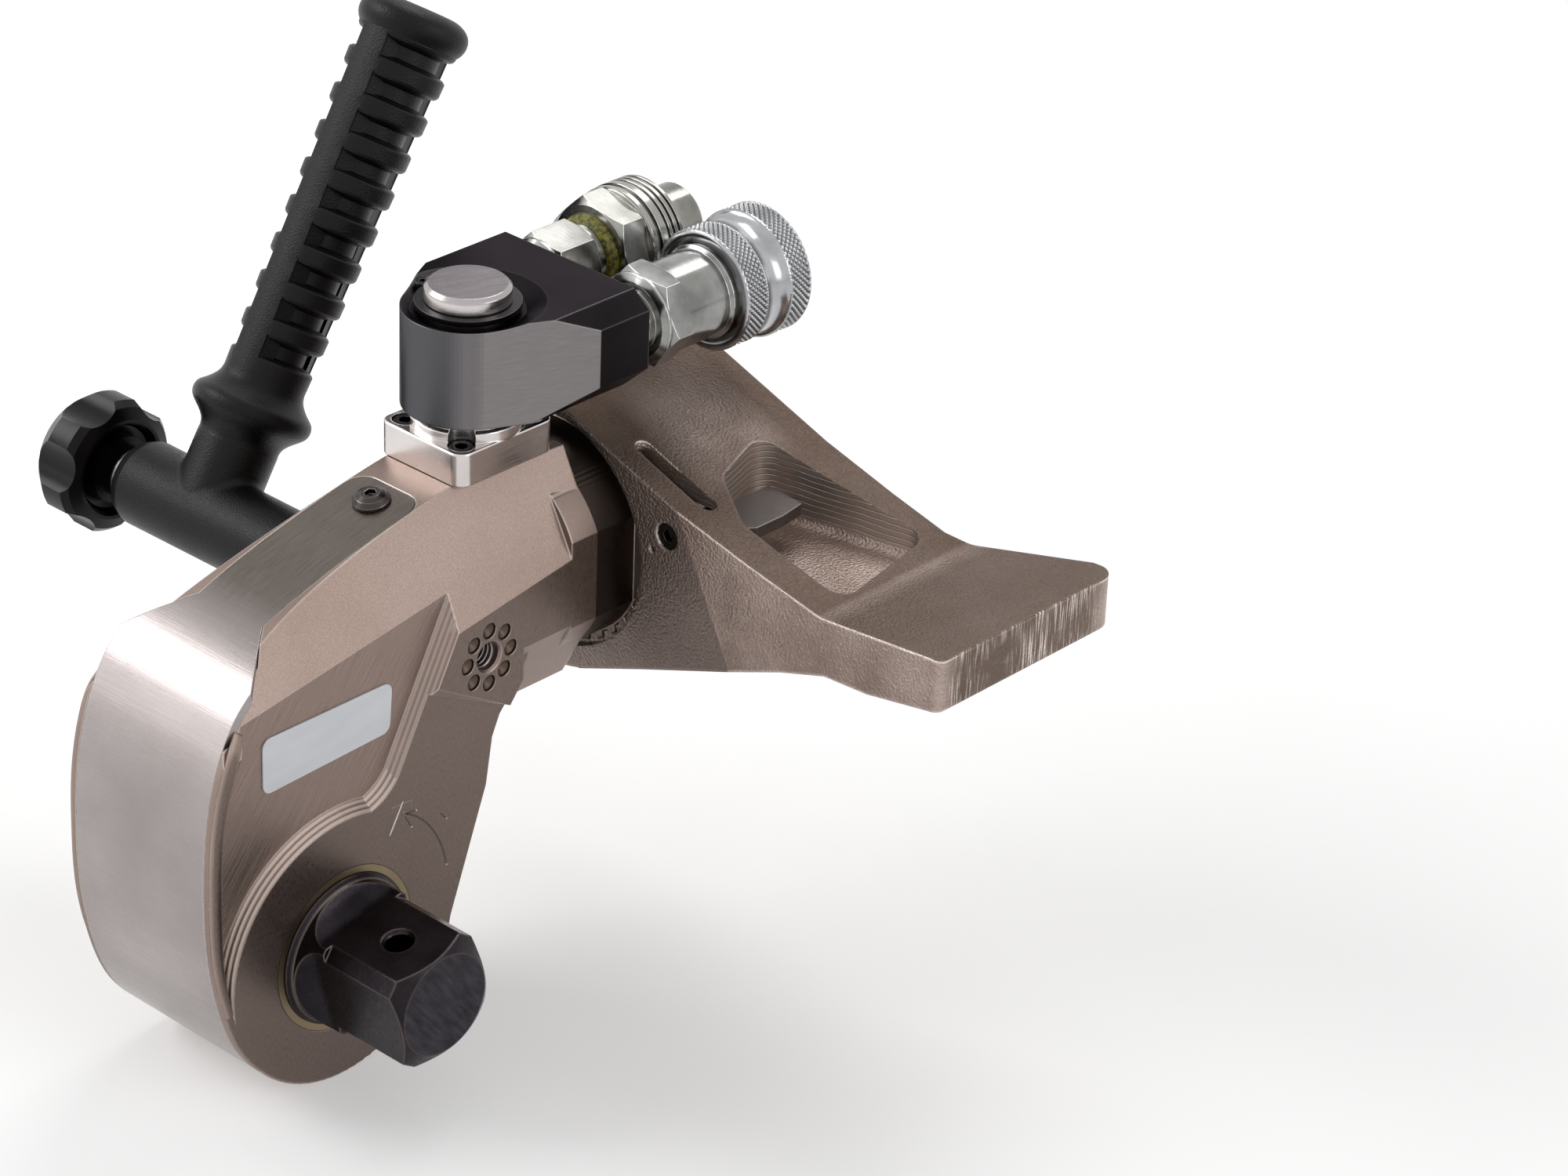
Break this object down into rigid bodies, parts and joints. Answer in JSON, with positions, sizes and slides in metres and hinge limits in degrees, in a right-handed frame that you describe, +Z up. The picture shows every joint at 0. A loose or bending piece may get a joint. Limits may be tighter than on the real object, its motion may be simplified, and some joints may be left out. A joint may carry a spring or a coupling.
{
  "type": "hydraulic torque wrench",
  "caption": "Hydraulic torque wrench with square drive, sliding reaction arm, swivel hose block with quick couplers and a clamped ribbed handle.",
  "frame": {"origin": "centre of the square drive at the front face of the nose", "axes": "-Y points out of the square drive, +X lies along the cylinder towards the reaction arm, +Z is up"},
  "size_m": [0.1893, 0.2338, 0.2061],
  "materials": {
    "nickel_plated_steel": "satin",
    "cast_plated_steel": "satin, sand cast texture",
    "brushed_stainless": "brushed",
    "bright_steel": "machined",
    "hardened_steel": "ground",
    "black_oxide_steel": "black oxide, satin",
    "black_fastener": "black oxide",
    "screw_steel": "satin",
    "latch_steel": "dull satin",
    "spring_steel": "drawn wire",
    "zinc_plate": "satin zinc plate",
    "bearing_bronze": "machined",
    "seal_rubber": "matte",
    "thread_sealant": "glossy cured paste",
    "grip_plastic": "matte moulded",
    "knob_plastic": "semi-gloss moulded"
  },
  "bodies": {
    "wrench_body": {"housing": "nickel_plated_steel", "shroud": "brushed_stainless", "shroud_screw": "screw_steel", "front_bushing": "bearing_bronze", "rear_bushing": "bearing_bronze", "rod_gland": "bright_steel", "gland_seal": "seal_rubber", "end_plug": "bright_steel", "plug_seal": "seal_rubber", "swivel_post": "bright_steel", "flange_screws": "black_fastener", "post_circlip": "black_fastener", "post_seals": "seal_rubber"},
    "drive": {"ratchet_wheel": "hardened_steel", "square_drive": "black_oxide_steel", "drive_retainer": "bright_steel"},
    "button": {"release_button": "bright_steel", "button_spring": "spring_steel"},
    "lever": {"lever_plate_front": "hardened_steel", "lever_plate_rear": "hardened_steel", "crank_pin": "bright_steel", "pawl_guide": "hardened_steel", "guide_pins": "bright_steel", "pawl_springs": "spring_steel"},
    "pawl": {"drive_pawl": "hardened_steel"},
    "ram": {"piston_rod": "bright_steel", "piston": "bright_steel", "piston_seal": "seal_rubber", "piston_nut": "bright_steel"},
    "arm": {"reaction_arm": "cast_plated_steel", "latch_screw": "black_fastener", "latch_spring": "spring_steel"},
    "latch": {"latch_lever": "latch_steel"},
    "swivel": {"swivel_block": "black_oxide_steel", "front_adapter": "zinc_plate", "female_coupler": "zinc_plate", "female_poppet": "zinc_plate", "rear_adapter": "zinc_plate", "thread_sealant": "thread_sealant", "male_coupler": "zinc_plate", "male_poppet": "zinc_plate"},
    "collar": {"coupler_collar": "zinc_plate"},
    "handle": {"handle_grip": "grip_plastic", "handle_sleeve": "bright_steel", "knob_washer": "bright_steel"},
    "knob": {"clamp_knob": "knob_plastic", "clamp_stud": "bright_steel"}
  },
  "joints": [
    {"name": "drive_turn", "type": "hinge", "parent": "wrench_body", "child": "drive", "pos_m": [0, 0, 0], "axis": [0, -1, 0], "range_deg": [0, 24]},
    {"name": "lever_swing", "type": "hinge", "parent": "wrench_body", "child": "lever", "pos_m": [0, 0, 0], "axis": [0, -1, 0], "range_deg": [0, 24]},
    {"name": "piston_stroke", "type": "slide", "parent": "wrench_body", "child": "ram", "axis": [-1, 0, 0], "range_m": [0, 0.02787]},
    {"name": "pawl_lift", "type": "slide", "parent": "lever", "child": "pawl", "axis": [0.2079, 0, 0.9781], "range_m": [0, 0.0026], "stiffness_N_per_m": 1500, "springref_m": -0.003, "deforming": ["pawl_springs"]},
    {"name": "button_press", "type": "slide", "parent": "drive", "child": "button", "axis": [0, -1, 0], "range_m": [0, 0.002], "stiffness_N_per_m": 1200, "springref_m": -0.002, "deforming": ["button_spring"]},
    {"name": "arm_slide", "type": "slide", "parent": "wrench_body", "child": "arm", "axis": [1, 0, 0], "range_m": [0, 0.03]},
    {"name": "latch_lift", "type": "hinge", "parent": "arm", "child": "latch", "pos_m": [0.0938, -0.0145, 0.0786], "axis": [1, 0, 0], "range_deg": [0, 8.3], "deforming": ["latch_spring"]},
    {"name": "swivel_turn", "type": "hinge", "parent": "wrench_body", "child": "swivel", "pos_m": [0.059, 0.023, 0.12], "axis": [0, 0, 1], "range_deg": [-195, 15]},
    {"name": "collar_turn", "type": "hinge", "parent": "swivel", "child": "collar", "pos_m": [0.118, 0.007, 0.1222], "axis": [1, 0, 0], "continuous": true},
    {"name": "handle_turn", "type": "hinge", "parent": "wrench_body", "child": "handle", "pos_m": [0.0426, 0.093, 0.0587], "axis": [0, 1, 0], "continuous": true},
    {"name": "knob_turn", "type": "hinge", "parent": "handle", "child": "knob", "pos_m": [0.0426, 0.124, 0.0587], "axis": [0, 1, 0], "continuous": true}
  ],
  "couplings": [
    {"joint": "lever_swing", "follows": "drive_turn", "ratio": 1},
    {"joint": "piston_stroke", "follows": "drive_turn", "m_per_rad": 0.06651},
    {"joint": "latch_lift", "follows": "arm_slide", "rad_per_m": 4.8}
  ]
}
